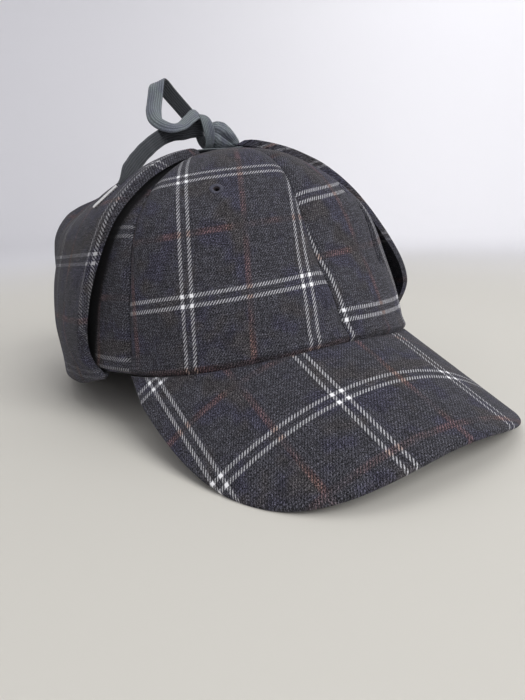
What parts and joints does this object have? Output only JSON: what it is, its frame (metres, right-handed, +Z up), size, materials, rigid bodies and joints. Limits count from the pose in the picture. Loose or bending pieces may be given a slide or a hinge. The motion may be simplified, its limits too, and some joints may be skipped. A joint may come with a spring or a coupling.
{
  "type": "trooper hat",
  "caption": "Checked cloth trooper hat with a stiff curved visor and a padded ear flap band that is turned up round the crown and tied over its top with a flat cord.",
  "frame": {"origin": "on the surface that the hat lies on, under the middle of its box measured without the free cord", "axes": "+Z up, the visor points to -Y, +X is the wearer's left"},
  "size_m": [0.1974, 0.2679, 0.1635],
  "materials": {
    "cloth": "charcoal brushed twill with a pale double windowpane check and a faint rust overcheck",
    "cord": "flat ribbed grey-green woven cord",
    "aglet": "bright metal tip"
  },
  "bodies": {
    "root": {"crown_panel_front_right": "cloth", "crown_panel_front_left": "cloth", "crown_panel_side_right": "cloth", "crown_panel_side_left": "cloth", "crown_panel_back_right": "cloth", "crown_panel_back_left": "cloth", "visor": "cloth", "ear_flap": "cloth", "tie_knot": "cord", "tie_loop": "cord", "tie_tail": "cord", "tie_aglet": "aglet"}
  },
  "joints": []
}
